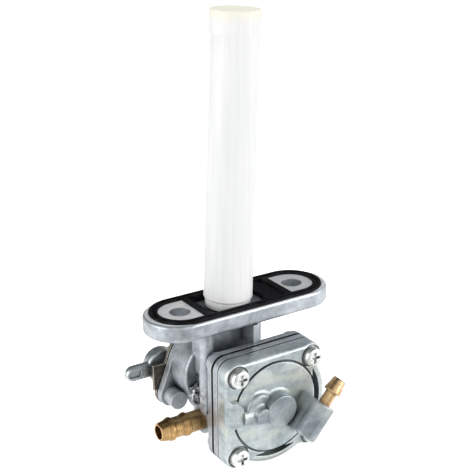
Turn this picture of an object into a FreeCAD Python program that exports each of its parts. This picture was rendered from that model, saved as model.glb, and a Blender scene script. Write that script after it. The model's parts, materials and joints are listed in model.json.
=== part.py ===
"""Vacuum-operated fuel tap for a motorcycle tank.

The origin is the middle of the tank flange, on its top face between the two bolt holes. +Z points up
into the tank along the filter tube, the two bolts stand along X, the diaphragm cover faces -Y and the
lever turns behind the valve housing, on the +Y side. All sizes are in millimetres.
"""

import FreeCAD
import Part
import Sketcher

import math
import os
import re

from FreeCAD import Placement, Rotation, Vector

SIZES = {
    # tank flange, with the pads round the bolt holes and the recess for the gasket
    "bolt_spacing": 44.0,
    "bolt_hole": 7.0,
    "flange_centre_spread": 46.0,
    "flange_width": 22.4,
    "flange_thickness": 6.0,
    "flange_edge_radius": 1.2,
    "recess_depth": 2.0,
    # tank gasket
    "gasket_centre_spread": 43.0,
    "gasket_width": 21.0,
    "gasket_band": 2.8,
    "gasket_clearance": 0.1,
    "gasket_thickness": 2.5,
    "gasket_groove_width": 0.8,
    "gasket_groove_depth": 0.5,
    "crossbar_width": 2.4,
    "crossbar_spread": 31.2,
    "web_thickness": 1.6,
    "web_cut_radius": 12.2,
    # filter tube with its cap, and the brass standpipe inside it
    "core_shift": 3.8,
    "filter_base_diameter": 16.2,
    "filter_top_diameter": 15.0,
    "filter_wall": 1.1,
    "filter_length": 95.0,
    "filter_foot": 2.7,
    "filter_foot_clearance": 0.2,
    "filter_lean_angle": 2.3,
    "filter_lift": 0.4,
    "cap_height": 6.0,
    "cap_top": 1.2,
    "cap_wall": 0.5,
    "cap_clearance": 0.05,
    "spigot_diameter": 12.6,
    "spigot_height": 6.0,
    "port_spread": 7.0,
    "passage_diameter": 3.4,
    "passage_back": 1.0,
    "standpipe_diameter": 4.5,
    "standpipe_wall": 0.5,
    "standpipe_socket": 8.0,
    "standpipe_length": 52.0,
    # neck between the flange and the housings
    "neck_left": 13.6,
    "neck_right": 9.5,
    "neck_front": 4.0,
    "neck_back": 7.0,
    "neck_drop": 20.0,
    "neck_fillet": 2.5,
    "rib_thickness": 1.8,
    "column_diameter": 4.8,
    "column_x": 15.4,
    "column_front": 5.0,
    # valve housing, its seal, and the plate that holds the lever in
    "valve_drop": 28.3,
    "drum_diameter": 26.9,
    "drum_front": 5.5,
    "drum_depth": 12.0,
    "drum_edge_radius": 0.8,
    "cavity_diameter": 20.4,
    "cavity_depth": 8.0,
    "seal_thickness": 2.5,
    "seal_clearance": 0.2,
    "port_radius": 4.95,
    "port_diameter": 3.2,
    "ear_angle": 35.0,
    "ear_reach": 16.8,
    "ear_radius": 4.2,
    "ear_boss_radius": 3.2,
    "ear_length": 8.0,
    "ear_flange": 2.5,
    "plate_gasket_thickness": 0.4,
    "plate_sheet": 1.0,
    "plate_margin": 0.3,
    "tab_reach": 19.0,
    "tab_top": 1.3,
    "tab_bottom": 8.0,
    "plate_screw_thread": 3.0,
    "plate_screw_head": 5.6,
    "plate_screw_head_height": 1.7,
    "plate_screw_length": 7.0,
    # lever
    "rotor_diameter": 19.4,
    "rotor_thickness": 4.0,
    "shaft_diameter": 12.0,
    "shaft_clearance": 0.3,
    "stop_radius": 7.6,
    "stop_width": 3.0,
    "stop_slot_radius": 7.9,
    "stop_slack_angle": 15.0,
    "hub_diameter": 16.4,
    "hub_gap": 0.4,
    "lever_gap": 2.3,
    "lever_thickness": 4.6,
    "hub_rise": 1.0,
    "lever_sag": 1.5,
    "arm_width": 9.0,
    "lobe_reach": 13.2,
    "lobe_radius": 6.1,
    "paddle_reach": 27.4,
    "paddle_width": 5.5,
    "paddle_sag": 1.75,
    "paddle_thickness": 2.7,
    "lever_edge_radius": 0.9,
    "dimple_length": 5.0,
    "dimple_width": 2.4,
    "dimple_depth": 0.5,
    "dimple_shift": 24.4,
    "kidney_inner": 3.3,
    "kidney_outer": 6.6,
    "kidney_half_angle": 58.0,
    "kidney_depth": 1.2,
    "o_ring_section": 1.5,
    "o_ring_groove_depth": 1.2,
    "o_ring_groove_width": 1.8,
    "o_ring_clearance": 0.05,
    "washer_sheet": 0.4,
    "washer_clearance": 0.1,
    "washer_width": 2.4,
    # diaphragm chamber and the plates stacked in front of it
    "chamber_shift": 0.5,
    "chamber_drop": 31.1,
    "chamber_core_diameter": 26.8,
    "chamber_diameter": 22.8,
    "chamber_depth": 5.0,
    "seat_bore": 7.6,
    "seat_wall": 1.2,
    "seat_height": 0.8,
    "rib_overlap": 1.0,
    "stack_back": 10.2,
    "body_plate_thickness": 2.2,
    "inner_diaphragm_thickness": 1.2,
    "spacer_thickness": 2.3,
    "outer_diaphragm_thickness": 0.6,
    "plate_half_width": 18.7,
    "ear_corner_radius": 4.45,
    "cover_round_radius": 20.0,
    "kink_radius": 3.0,
    "cover_screw_spread": 28.5,
    "cover_screw_thread": 4.0,
    "cover_screw_hole": 4.2,
    "screw_boss_diameter": 6.8,
    "screw_boss_length": 2.4,
    "vent_diameter": 1.5,
    "vent_start": 3.0,
    # plunger and its spring
    "plunger_head_radius": 5.2,
    "plunger_head_thickness": 2.4,
    "plunger_disc_radius": 8.0,
    "plunger_disc_thickness": 1.0,
    "plunger_stem_diameter": 3.2,
    "plunger_stem_end": 1.4,
    "stem_clearance": 0.05,
    "seal_clearance": 0.05,
    "seal_edge_gap": 0.1,
    "seal_overhang": 0.8,
    "sleeve_radius": 7.0,
    "spring_seat_radius": 7.5,
    "spring_seat_thickness": 0.7,
    "spring_radius": 3.9,
    "spring_wire": 0.8,
    "spring_turns": 4.5,
    "spring_clearance": 0.02,
    # cover
    "cover_depth": 5.1,
    "cover_edge_radius": 1.4,
    "cover_cavity_diameter": 27.0,
    "cover_cavity_depth": 3.2,
    "spot_face_diameter": 7.7,
    "spot_face_depth": 1.3,
    "disc_radius": 15.6,
    "disc_rise": 0.4,
    "disc_edge_radius": 0.3,
    "groove_width": 0.7,
    "groove_depth": 0.9,
    "pocket_radius": 17.8,
    "pocket_depth": 3.2,
    "side_pocket_half_angle": 33.0,
    "low_pocket_half_angle": 27.0,
    "centre_boss_radius": 5.6,
    "centre_boss_rise": 4.5,
    "spring_pocket_radius": 4.6,
    "spring_pocket_depth": 3.9,
    "post_shift": 6.8,
    "post_radius": 2.6,
    "post_rise": 4.1,
    "arch_radius": 5.0,
    "arch_lift": 1.5,
    "arch_rise": 1.9,
    "boss_flare": 1.5,
    "boss_edge_radius": 0.5,
    "ridge_radius": 2.8,
    "ridge_rise": 2.7,
    "ridge_reach": 13.2,
    "nose_reach": 18.5,
    "nose_top": 7.5,
    "nose_shoulder": 4.0,
    "nose_low": 4.2,
    "nose_rise": 1.5,
    "nose_slope_angle": 30.0,
    # tower on the cover, and the two brass pipes
    "nipple_angle": 48.0,
    "tower_x": 9.6,
    "tower_drop": 4.4,
    "tower_length": 12.4,
    "tower_width": 7.7,
    "barrel_radius": 4.1,
    "barrel_front": 29.6,
    "barrel_edge_radius": 0.7,
    "nipple_radius": 2.0,
    "nipple_bore_radius": 1.2,
    "nipple_socket": 6.0,
    "nipple_reach": 9.6,
    "nipple_barb_radius": 2.9,
    "nipple_barb_length": 5.0,
    "nipple_tip_radius": 2.25,
    "nipple_tip_bevel_width": 0.3,
    "nipple_tip_bevel_length": 0.4,
    "nipple_crest_length": 0.5,
    "outlet_below": 7.5,
    "outlet_front": 4.0,
    "outlet_boss_radius": 5.0,
    "outlet_boss_x": 17.2,
    "outlet_radius": 3.45,
    "outlet_bore_radius": 2.3,
    "outlet_socket": 6.5,
    "outlet_reach": 16.2,
    "outlet_tip_bevel_width": 0.3,
    "outlet_tip_bevel_length": 0.5,
    "ridge_rise_share": 0.35,
    "ridge_crest_share": 0.15,
    "ridge_fall_share": 0.65,
    "outlet_ridge_radius": 3.95,
    "outlet_ridge_first": 4.2,
    "outlet_ridge_second": 10.0,
    "outlet_ridge_length": 2.6,
    "outlet_tip_radius": 3.1,
    # cover screws; the share is of the head's radius or height
    "screw_head_radius": 3.2,
    "screw_head_height": 2.6,
    "screw_length": 12.0,
    "screw_tip_bevel": 0.5,
    "head_side_share": 0.6,
    "head_flat_share": 0.72,
    "cross_length_share": 0.6,
    "cross_width_share": 0.15,
    "cross_depth_share": 0.5,
    "spring_washer_thickness": 1.0,
    "spring_washer_radius": 3.5,
    "spring_washer_split": 0.7,
    "split_overrun": 1.0,
}

doc = FreeCAD.newDocument("fuel_tap")
sheet = doc.addObject("Spreadsheet::Sheet", "Sizes")
for row, (alias, size) in enumerate(SIZES.items(), start=1):
    sheet.set(f"A{row}", alias)
    sheet.set(f"B{row}", str(size))
    sheet.setAlias(f"B{row}", alias)
doc.recompute()

parts = []

# Planes along -Y, counted forwards from the flange's middle plane.
PLATE_FRONT = "(stack_back + body_plate_thickness)"
SPACER_BACK = f"({PLATE_FRONT} + inner_diaphragm_thickness)"
SPACER_FRONT = f"({SPACER_BACK} + spacer_thickness)"
COVER_BACK = f"({SPACER_FRONT} + outer_diaphragm_thickness)"
COVER_FRONT = f"({COVER_BACK} + cover_depth)"
CAVITY_CEILING = f"({COVER_BACK} + cover_cavity_depth)"
SPRING_END = f"({CAVITY_CEILING} + spring_pocket_depth)"
SCREW_PAD = f"({COVER_FRONT} - spot_face_depth)"
CHAMBER_FLOOR = f"({PLATE_FRONT} - chamber_depth)"
SEAT_FRONT = f"({CHAMBER_FLOOR} + seat_height)"
# Planes along +Y, counted backwards from the flange's middle plane.
DRUM_BACK = "(drum_front + drum_depth)"
CAVITY_FLOOR = f"({DRUM_BACK} - cavity_depth)"
ROTOR_FRONT = f"({CAVITY_FLOOR} + seal_thickness)"
ROTOR_BACK = f"({ROTOR_FRONT} + rotor_thickness)"
SHEET_FRONT = f"({DRUM_BACK} + plate_gasket_thickness)"
SHEET_BACK = f"({SHEET_FRONT} + plate_sheet)"
LEVER_FRONT = f"({SHEET_BACK} + lever_gap)"
LEVER_BACK = f"({LEVER_FRONT} + lever_thickness)"
# The two axes along Y: the valve's, on the filter's centre line, and the diaphragm's.
VALVE_AXIS = ("-core_shift", "-valve_drop")
CHAMBER_AXIS = ("chamber_shift", "-chamber_drop")
# The outlet's axis, along X, below the diaphragm's: its depth under the flange, then its Y and Z.
OUTLET_DROP = "(chamber_drop + outlet_below)"
OUTLET_AXIS = ("-outlet_front", f"-{OUTLET_DROP}")


def named(expression):
    """Put the sheet's name before each alias in an expression."""
    def qualify(match):
        word = match.group(0)
        return f"Sizes.{word}" if word in SIZES else word
    return re.sub(r"[a-z][a-z_]*", qualify, expression)


def value(expression):
    """What an expression on the sheet comes to."""
    return float(sheet.evalExpression(named(expression)))


def bind(thing, prop, expression):
    """Tie one property to the sheet."""
    thing.setExpression(prop, named(expression))


class Piece:
    """A body whose sketches and features take their sizes from the sheet."""

    def __init__(self, label):
        self.label = label
        self.body = doc.addObject("PartDesign::Body", label)
        self.count = 0

    def plane(self, role):
        features = self.body.Origin.OriginFeatures
        return next(feature for feature in features if feature.Role == role)

    def sketch(self, role, level="0", centre=("0", "0"), turn=None):
        """A sketch parallel to an origin plane, at a level along that plane's normal.

        The XZ plane's normal is -Y, so a level there counts forwards.
        """
        self.count += 1
        made = self.body.newObject("Sketcher::SketchObject", f"{self.label}_sketch_{self.count}")
        made.AttachmentSupport = (self.plane(role), [""])
        made.MapMode = "FlatFace"
        bind(made, ".AttachmentOffset.Base.x", centre[0])
        bind(made, ".AttachmentOffset.Base.y", centre[1])
        bind(made, ".AttachmentOffset.Base.z", level)
        if turn is not None:
            bind(made, ".AttachmentOffset.Rotation.Angle", turn)
        return made

    def feature(self, kind, sketch, length=None, backwards=False):
        """A pad or pocket, which stops the script if it leaves the volume as it was."""
        before = self.body.Shape.Volume if self.count > 1 else 0.0
        made = self.body.newObject(f"PartDesign::{kind}", f"{self.label}_{kind}_{self.count}")
        made.Profile = sketch
        made.Reversed = backwards
        bind(made, "Length", length)
        doc.recompute()
        if abs(self.body.Shape.Volume - before) < 1e-6:
            raise RuntimeError(f"{made.Name} changed nothing")
        return made

    def pad(self, sketch, length, backwards=False):
        return self.feature("Pad", sketch, length, backwards)

    def pocket(self, sketch, length, backwards=False):
        return self.feature("Pocket", sketch, length, backwards)

    def turned(self, sketch, axis="V_Axis", kind="Revolution"):
        """A sketch revolved about its own upright or level axis."""
        made = self.body.newObject(f"PartDesign::{kind}", f"{self.label}_{kind}_{self.count}")
        made.Profile = sketch
        made.ReferenceAxis = (sketch, [axis])
        made.Angle = 360.0
        doc.recompute()
        return made

    def rounded(self, radius, wanted, kind="Fillet"):
        """Round or bevel the edges that a test picks."""
        base = self.body.Tip
        shape = base.Shape
        edges = [f"Edge{i}" for i, edge in enumerate(shape.Edges, start=1) if wanted(edge)]
        if not edges:
            raise RuntimeError(f"{self.label} has no such edge to round")
        self.count += 1
        made = self.body.newObject(f"PartDesign::{kind}", f"{self.label}_{kind}_{self.count}")
        made.Base = (base, edges)
        bind(made, "Radius" if kind == "Fillet" else "Size", radius)
        doc.recompute()
        if made.Shape.isNull():
            raise RuntimeError(f"{made.Name} could not be made")
        return made

    def keep(self):
        """Hand the body in as a node of the part."""
        self.body.Label = self.label
        parts.append(self.body)


def circle(sketch, radius, centre=("0", "0")):
    """A circle with its centre and radius tied to the sheet."""
    at = Vector(value(centre[0]), value(centre[1]), 0)
    edge = sketch.addGeometry(Part.Circle(at, Vector(0, 0, 1), value(radius)))
    for kind, wanted in (("DistanceX", centre[0]), ("DistanceY", centre[1])):
        rule = sketch.addConstraint(Sketcher.Constraint(kind, -1, 1, edge, 3, value(wanted)))
        bind(sketch, f"Constraints[{rule}]", wanted)
    rule = sketch.addConstraint(Sketcher.Constraint("Radius", edge, value(radius)))
    bind(sketch, f"Constraints[{rule}]", radius)


def outline(sketch, points, arcs=None):
    """A closed outline of lines and arcs through points tied to the sheet.

    arcs maps the number of an edge to its centre and its sense, 1 for anticlockwise.
    """
    arcs = arcs or {}
    where = [Vector(value(x), value(y), 0) for x, y in points]
    edges = []
    for i, start in enumerate(where):
        end = where[(i + 1) % len(where)]
        if i in arcs:
            (centre_x, centre_y), sense = arcs[i]
            centre = Vector(value(centre_x), value(centre_y), 0)
            first, last = (start, end) if sense > 0 else (end, start)
            round_edge = Part.Circle(centre, Vector(0, 0, 1), (start - centre).Length)
            begin = math.atan2(first.y - centre.y, first.x - centre.x)
            finish = math.atan2(last.y - centre.y, last.x - centre.x)
            if finish <= begin:
                finish += 2 * math.pi
            edges.append(sketch.addGeometry(Part.ArcOfCircle(round_edge, begin, finish)))
        else:
            edges.append(sketch.addGeometry(Part.LineSegment(start, end)))
    for i, edge in enumerate(edges):
        following = (i + 1) % len(edges)
        own_end = 1 if i in arcs and arcs[i][1] < 0 else 2
        next_start = 2 if following in arcs and arcs[following][1] < 0 else 1
        sketch.addConstraint(
            Sketcher.Constraint("Coincident", edge, own_end, edges[following], next_start))
    for i, edge in enumerate(edges):
        start_point = 2 if i in arcs and arcs[i][1] < 0 else 1
        for kind, wanted in (("DistanceX", points[i][0]), ("DistanceY", points[i][1])):
            rule = sketch.addConstraint(
                Sketcher.Constraint(kind, -1, 1, edge, start_point, value(wanted)))
            bind(sketch, f"Constraints[{rule}]", wanted)
        if i in arcs:
            chord = where[(i + 1) % len(where)] - where[i]
            level = abs(chord.x) > abs(chord.y)
            kind = "DistanceY" if level else "DistanceX"
            wanted = arcs[i][0][1] if level else arcs[i][0][0]
            rule = sketch.addConstraint(Sketcher.Constraint(kind, -1, 1, edge, 3, value(wanted)))
            bind(sketch, f"Constraints[{rule}]", wanted)


def rectangle(sketch, left, low, right, high):
    outline(sketch, [(left, low), (right, low), (right, high), (left, high)])


def stadium(sketch, spread, width):
    """A slot-shaped outline, with its two round ends a spread apart."""
    half = f"({spread}) / 2"
    side = f"({width}) / 2"
    outline(
        sketch,
        [(f"-{half}", f"-{side}"), (half, f"-{side}"), (half, side), (f"-{half}", side)],
        {1: ((half, "0"), 1), 3: ((f"-{half}", "0"), 1)},
    )


def at_angle(radius, angle, centre=("0", "0")):
    """A point at a distance and an angle from a centre."""
    return (f"{centre[0]} + ({radius}) * cos({angle})", f"{centre[1]} + ({radius}) * sin({angle})")


def drilled(piece, role, level, centre, radius, depth, backwards=False):
    """A round hole from a level into the piece."""
    sketch = piece.sketch(role, level, centre)
    circle(sketch, radius)
    piece.pocket(sketch, depth, backwards)


def post(piece, role, level, centre, radius, length, backwards=False):
    """A round boss from a level outwards."""
    sketch = piece.sketch(role, level, centre)
    circle(sketch, radius)
    piece.pad(sketch, length, backwards)


def is_round(edge, radius, tolerance=0.01):
    """Whether an edge is an arc of this radius."""
    return isinstance(edge.Curve, Part.Circle) and abs(edge.Curve.Radius - radius) < tolerance


def corner_positions():
    """The four cover screws, as places on the plate about the diaphragm's axis."""
    half = "cover_screw_spread / 2"
    return [(f"{sx}{half}", f"{sz}{half}") for sx in ("-", "") for sz in ("", "-")]


def stack_outline(sketch):
    """The outline that the body plate, the spacer, the diaphragms and the cover share.

    It is straight on the left and along the top, and bulges as one arc between the screw ears on the
    right and below.
    """
    ear = "cover_screw_spread / 2"
    side = "plate_half_width"
    corner = "(plate_half_width - cover_screw_spread / 2)"
    # Where the big arc meets an ear's circle, measured along and across the diagonal of the square.
    reach = f"({ear} * sqrt(2))"
    along = f"((cover_round_radius ^ 2 - ear_corner_radius ^ 2 + {reach} ^ 2) / (2 * {reach}))"
    across = f"sqrt(cover_round_radius ^ 2 - {along} ^ 2)"
    far = f"({along} + {across}) / sqrt(2)"
    near = f"({along} - {across}) / sqrt(2)"
    points = [
        (f"-{side}", ear), (f"-{side}", f"-{ear}"),
        (f"-{ear}", f"-{side}"), (f"-({near})", f"-({far})"),
        (near, f"-({far})"), (far, f"-({near})"),
        (far, near), (ear, side), (f"-{ear}", side),
    ]
    left_ear = f"-({side} - {corner})"
    arcs = {
        1: ((left_ear, f"-{ear}"), 1),
        2: ((f"-{ear}", f"-{ear}"), 1),
        3: (("0", "0"), 1),
        4: ((ear, f"-{ear}"), 1),
        5: (("0", "0"), 1),
        6: ((ear, ear), 1),
        8: ((left_ear, ear), 1),
    }
    outline(sketch, points, arcs)


def stack_plate(piece, level, thickness):
    """A plate with the stack's outline, blended where the arc runs into the screw ears."""
    sketch = piece.sketch("XZ_Plane", level, CHAMBER_AXIS)
    stack_outline(sketch)
    piece.pad(sketch, thickness)
    axis_x, axis_z = (value(place) for place in CHAMBER_AXIS)
    arc = value("cover_round_radius")

    def is_kink(edge):
        place = edge.CenterOfMass
        along_y = edge.BoundBox.XLength < 0.01 and edge.BoundBox.ZLength < 0.01
        return along_y and abs(math.hypot(place.x - axis_x, place.z - axis_z) - arc) < 0.01

    piece.rounded("kink_radius", is_kink)


def screw_holes(piece, level, depth, diameter):
    """One hole at each of the four cover screws, from a level backwards."""
    sketch = piece.sketch("XZ_Plane", level, CHAMBER_AXIS)
    for place in corner_positions():
        circle(sketch, f"{diameter} / 2", place)
    piece.pocket(sketch, depth)


def ear_outline(sketch, margin="0"):
    """The valve housing's back outline: its circle, with a tapering ear for a screw on either side."""
    big = f"(drum_diameter / 2 + {margin})"
    small = f"(ear_radius + {margin})"
    lean = f"acos(({big} - {small}) / ear_reach)"
    corners = []
    for side in ("0 deg", "180 deg"):
        ear = (f"ear_reach * cos({side})", "0")
        for sense in ("-", ""):
            drum_point = at_angle(big, f"{side} {sense or '+'} {lean}")
            ear_point = at_angle(small, f"{side} {sense or '+'} {lean}", ear)
            corners += [drum_point, ear_point] if sense == "-" else [ear_point, drum_point]
    outline(
        sketch,
        corners,
        {
            1: (("ear_reach", "0"), 1),
            3: (("0", "0"), 1),
            5: (("-ear_reach", "0"), 1),
            7: (("0", "0"), 1),
        },
    )


def pad_loop(sketch, side, clearance):
    """The D-shaped outline round one bolt hole, inside the gasket's ring; side is '' or '-'."""
    sign = "-" if side else ""
    bar = f"({sign}(crossbar_spread + crossbar_width + 2 * {clearance}) / 2)"
    half = f"(gasket_width / 2 - gasket_band - {clearance})"
    end = f"({sign}gasket_centre_spread / 2)"
    points = [(bar, f"-{half}"), (end, f"-{half}"), (end, half), (bar, half)]
    sense = -1 if side else 1
    outline(sketch, points, {1: ((end, "0"), sense)})


def build_tap_body():
    """The die-cast body: flange, neck, valve housing, diaphragm chamber and outlet boss in one."""
    piece = Piece("tap_body")

    flange = piece.sketch("XY_Plane", "-flange_thickness")
    stadium(flange, "flange_centre_spread", "flange_width")
    piece.pad(flange, "flange_thickness")
    piece.rounded("flange_edge_radius", lambda edge: edge.BoundBox.ZLength < 0.01)

    recess = piece.sketch("XY_Plane")
    stadium(recess, "gasket_centre_spread", "gasket_width + 2 * gasket_clearance")
    pad_loop(recess, "-", "gasket_clearance")
    pad_loop(recess, "", "gasket_clearance")
    piece.pocket(recess, "recess_depth")

    neck = piece.sketch("XY_Plane", "-flange_thickness")
    middle = "(neck_back - neck_front) / 2"
    round_end = "neck_right - (neck_front + neck_back) / 2"
    outline(
        neck,
        [
            ("-neck_left", "-neck_front"), (round_end, "-neck_front"),
            (round_end, "neck_back"), ("-neck_left", "neck_back"),
        ],
        {1: ((round_end, middle), 1)},
    )
    piece.pad(neck, "neck_drop", backwards=True)
    top = -value("flange_thickness")
    piece.rounded(
        "neck_fillet",
        lambda edge: isinstance(edge.Curve, Part.Circle) and edge.BoundBox.ZLength < 0.01
        and abs(edge.BoundBox.ZMin - top) < 0.01
        and abs(edge.Curve.Radius - value("(neck_front + neck_back) / 2")) < 0.01,
    )
    rib = piece.sketch("XY_Plane", "-flange_thickness")
    rectangle(rib, "-rib_thickness / 2", "-flange_width / 2", "rib_thickness / 2", "-neck_front")
    piece.pad(rib, "chamber_drop - plate_half_width - flange_thickness + rib_overlap", backwards=True)

    post(piece, "XZ_Plane", f"-{DRUM_BACK}", VALVE_AXIS, "drum_diameter / 2", "drum_depth")
    front = -value("drum_front")
    piece.rounded(
        "drum_edge_radius",
        lambda edge: is_round(edge, value("drum_diameter / 2"))
        and abs(edge.CenterOfMass.y + front) < 0.01,
    )
    ears = piece.sketch("XZ_Plane", f"-{DRUM_BACK}", VALVE_AXIS, "ear_angle")
    ear_outline(ears)
    piece.pad(ears, "ear_flange")
    bosses = piece.sketch("XZ_Plane", f"-{DRUM_BACK}", VALVE_AXIS, "ear_angle")
    circle(bosses, "ear_boss_radius", ("ear_reach", "0"))
    circle(bosses, "ear_boss_radius", ("-ear_reach", "0"))
    piece.pad(bosses, "ear_length")

    core_start = "-(drum_front + drum_edge_radius)"
    post(piece, "XZ_Plane", core_start, CHAMBER_AXIS, "chamber_core_diameter / 2",
         "drum_front + drum_edge_radius + stack_back")
    post(piece, "YZ_Plane", "-outlet_boss_x", OUTLET_AXIS,
         "outlet_boss_radius", "outlet_boss_x")
    post(piece, "XY_Plane", "-flange_thickness", ("-column_x", "-column_front"),
         "column_diameter / 2", f"{OUTLET_DROP} - flange_thickness", backwards=True)
    stack_plate(piece, "stack_back", "body_plate_thickness")
    screw_bosses = piece.sketch("XZ_Plane", "stack_back", CHAMBER_AXIS)
    for place in corner_positions():
        circle(screw_bosses, "screw_boss_diameter / 2", place)
    piece.pad(screw_bosses, "screw_boss_length", backwards=True)
    post(piece, "XY_Plane", "-recess_depth", ("-core_shift", "0"), "spigot_diameter / 2",
         "spigot_height")

    for side in ("-", ""):
        drilled(piece, "XY_Plane", "0", (f"{side}bolt_spacing / 2", "0"), "bolt_hole / 2",
                "flange_thickness")
    # The valve cavity, the chamber in front of it, and the bore that the plunger closes.
    drilled(piece, "XZ_Plane", f"-{DRUM_BACK}", VALVE_AXIS, "cavity_diameter / 2", "cavity_depth",
            backwards=True)
    drilled(piece, "XZ_Plane", PLATE_FRONT, CHAMBER_AXIS, "chamber_diameter / 2", "chamber_depth")
    seat = piece.sketch("XZ_Plane", CHAMBER_FLOOR, CHAMBER_AXIS)
    circle(seat, "seat_bore / 2 + seat_wall")
    circle(seat, "seat_bore / 2")
    piece.pad(seat, "seat_height")
    drilled(piece, "XZ_Plane", SEAT_FRONT, CHAMBER_AXIS, "seat_bore / 2",
            f"{SEAT_FRONT} - outlet_front + passage_diameter")
    # Fuel comes down the two passages to the upper ports and leaves by the lower one.
    spigot_top = "spigot_height - recess_depth"
    bottom = f"valve_drop - port_radius * sin(45) + {spigot_top}"
    for side in ("-", "+"):
        across = f"-core_shift {side} port_spread / 2"
        drilled(piece, "XY_Plane", spigot_top, (across, "passage_back"), "passage_diameter / 2", bottom)
        port = (across, "-valve_drop + port_radius * sin(45)")
        drilled(piece, "XZ_Plane", f"-{CAVITY_FLOOR}", port, "port_diameter / 2",
                f"{CAVITY_FLOOR} - passage_back", backwards=True)
    drilled(piece, "XY_Plane", spigot_top, ("-core_shift + port_spread / 2", "passage_back"),
            "standpipe_diameter / 2", "standpipe_socket")
    lower_port = ("-core_shift - port_spread / 2", "-valve_drop - port_radius * sin(45)")
    drilled(piece, "XZ_Plane", f"-{CAVITY_FLOOR}", lower_port, "port_diameter / 2",
            f"{CAVITY_FLOOR} + {CHAMBER_FLOOR}", backwards=True)
    column_left = "(column_x + column_diameter / 2)"
    drilled(piece, "YZ_Plane", f"-{column_left}", OUTLET_AXIS,
            "outlet_radius", f"{column_left} - outlet_boss_x + outlet_socket", backwards=True)
    drilled(piece, "YZ_Plane", "-outlet_boss_x", OUTLET_AXIS,
            "outlet_bore_radius", "outlet_boss_x + chamber_shift + passage_diameter", backwards=True)
    drilled(piece, "XY_Plane", "-chamber_drop", ("chamber_shift", "-outlet_front"),
            "passage_diameter / 2", "outlet_below")
    screw_holes(piece, PLATE_FRONT, "body_plate_thickness + screw_boss_length",
                "cover_screw_thread")
    threads = piece.sketch("XZ_Plane", f"-{DRUM_BACK}", VALVE_AXIS, "ear_angle")
    circle(threads, "plate_screw_thread / 2", ("ear_reach", "0"))
    circle(threads, "plate_screw_thread / 2", ("-ear_reach", "0"))
    piece.pocket(threads, "plate_screw_length", backwards=True)
    piece.keep()


def build_tank_gasket():
    """The moulded rubber gasket: a ring, two bars across it, and a thinner web beside the filter."""
    piece = Piece("tank_gasket")
    ring = piece.sketch("XY_Plane", "-recess_depth")
    stadium(ring, "gasket_centre_spread", "gasket_width")
    pad_loop(ring, "-", "0")
    pad_loop(ring, "", "0")
    half = "(gasket_width / 2 - gasket_band)"
    bar = "(crossbar_spread - crossbar_width) / 2"
    outline(ring, [(f"-{bar}", f"-{half}"), (bar, f"-{half}"), (bar, half), (f"-{bar}", half)])
    piece.pad(ring, "gasket_thickness")
    web = piece.sketch("XY_Plane", "-recess_depth")
    cut = f"-core_shift + sqrt(web_cut_radius ^ 2 - {half} ^ 2)"
    outline(
        web,
        [(cut, f"-{half}"), (bar, f"-{half}"), (bar, half), (cut, half)],
        {3: (("-core_shift", "0"), -1)},
    )
    piece.pad(web, "web_thickness")
    groove = piece.sketch("XY_Plane", "gasket_thickness - recess_depth")
    middle = "(gasket_width - gasket_band)"
    stadium(groove, "gasket_centre_spread", f"{middle} + gasket_groove_width")
    stadium(groove, "gasket_centre_spread", f"{middle} - gasket_groove_width")
    piece.pocket(groove, "gasket_groove_depth")
    piece.keep()


def lean_with_filter(piece):
    """Tip a piece over about the foot of the filter, as the tube stands in the photograph."""
    bind(piece.body, ".Placement.Base.x", "-core_shift")
    bind(piece.body, ".Placement.Base.z", "-recess_depth + filter_lift")
    piece.body.Placement = Placement(piece.body.Placement.Base, Rotation(Vector(0, 1, 0), 1))
    bind(piece.body, ".Placement.Rotation.Angle", "filter_lean_angle")


def build_filter_tube():
    """The moulded nylon filter tube: a foot that clears the gasket, then a slight taper to the top."""
    piece = Piece("filter_tube")
    wall = piece.sketch("XZ_Plane")
    base = "filter_base_diameter / 2"
    top = "filter_top_diameter / 2"
    foot = "(gasket_width / 2 - gasket_band - filter_foot_clearance)"
    outline(wall, [
        (f"{base} - filter_wall", "0"), (foot, "0"), (foot, "filter_foot"),
        (base, f"filter_foot + {base} - {foot}"),
        (top, "filter_length"), (f"{top} - filter_wall", "filter_length"),
    ])
    piece.turned(wall)
    lean_with_filter(piece)
    piece.keep()


def build_filter_cap():
    """The cap pushed over the top of the tube."""
    piece = Piece("filter_cap")
    wall = piece.sketch("XZ_Plane")
    slope = "(filter_base_diameter - filter_top_diameter) / 2 * cap_height / filter_length"
    inner = f"(filter_top_diameter / 2 + {slope} + cap_clearance)"
    outline(wall, [
        (inner, "filter_length - cap_height"),
        (f"{inner} + cap_wall", "filter_length - cap_height"),
        (f"{inner} + cap_wall", "filter_length + cap_top"),
        ("0", "filter_length + cap_top"),
        ("0", "filter_length"),
        (inner, "filter_length"),
    ])
    piece.turned(wall)
    rim = "filter_length + cap_top"
    piece.rounded("cap_wall", lambda edge: abs(edge.CenterOfMass.z - value(rim)) < 0.01)
    lean_with_filter(piece)
    piece.keep()


def build_main_standpipe():
    """The brass standpipe: the main supply enters at its top, the reserve at the filter's foot."""
    piece = Piece("main_standpipe")
    wall = piece.sketch("XY_Plane", "spigot_height - recess_depth - standpipe_socket",
                        ("-core_shift + port_spread / 2", "passage_back"))
    circle(wall, "standpipe_diameter / 2")
    circle(wall, "standpipe_diameter / 2 - standpipe_wall")
    piece.pad(wall, "standpipe_length")
    piece.keep()


def build_valve_seal():
    """The rubber disc with four holes that the rotor turns against."""
    piece = Piece("valve_seal")
    disc = piece.sketch("XZ_Plane", f"-{ROTOR_FRONT}", VALVE_AXIS)
    circle(disc, "cavity_diameter / 2 - seal_clearance")
    for corner in ("45", "135", "225", "315"):
        circle(disc, "port_diameter / 2", at_angle("port_radius", corner))
    piece.pad(disc, "seal_thickness")
    piece.keep()


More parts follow.
